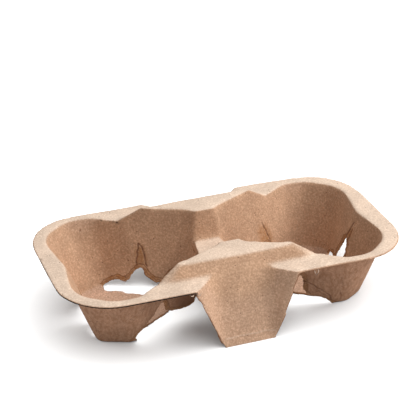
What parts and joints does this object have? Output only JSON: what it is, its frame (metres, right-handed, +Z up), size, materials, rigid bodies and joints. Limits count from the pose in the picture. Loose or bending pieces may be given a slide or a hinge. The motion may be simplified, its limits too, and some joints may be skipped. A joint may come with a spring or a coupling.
{
  "type": "two-cup carrier",
  "caption": "Moulded paper-fibre cup carrier with two lobed wells, a raised bridge between them, a grip chute on each long side and hollow feet.",
  "frame": {"origin": "middle of the footprint, on the ground under the feet", "axes": "+X along the carrier from the left well to the right one, +Y to the back, +Z up"},
  "size_m": [0.215, 0.1152, 0.0497],
  "materials": {
    "fibre": "rough unbleached moulded fibre"
  },
  "bodies": {
    "root": {"cup_carrier": "fibre"}
  },
  "joints": []
}
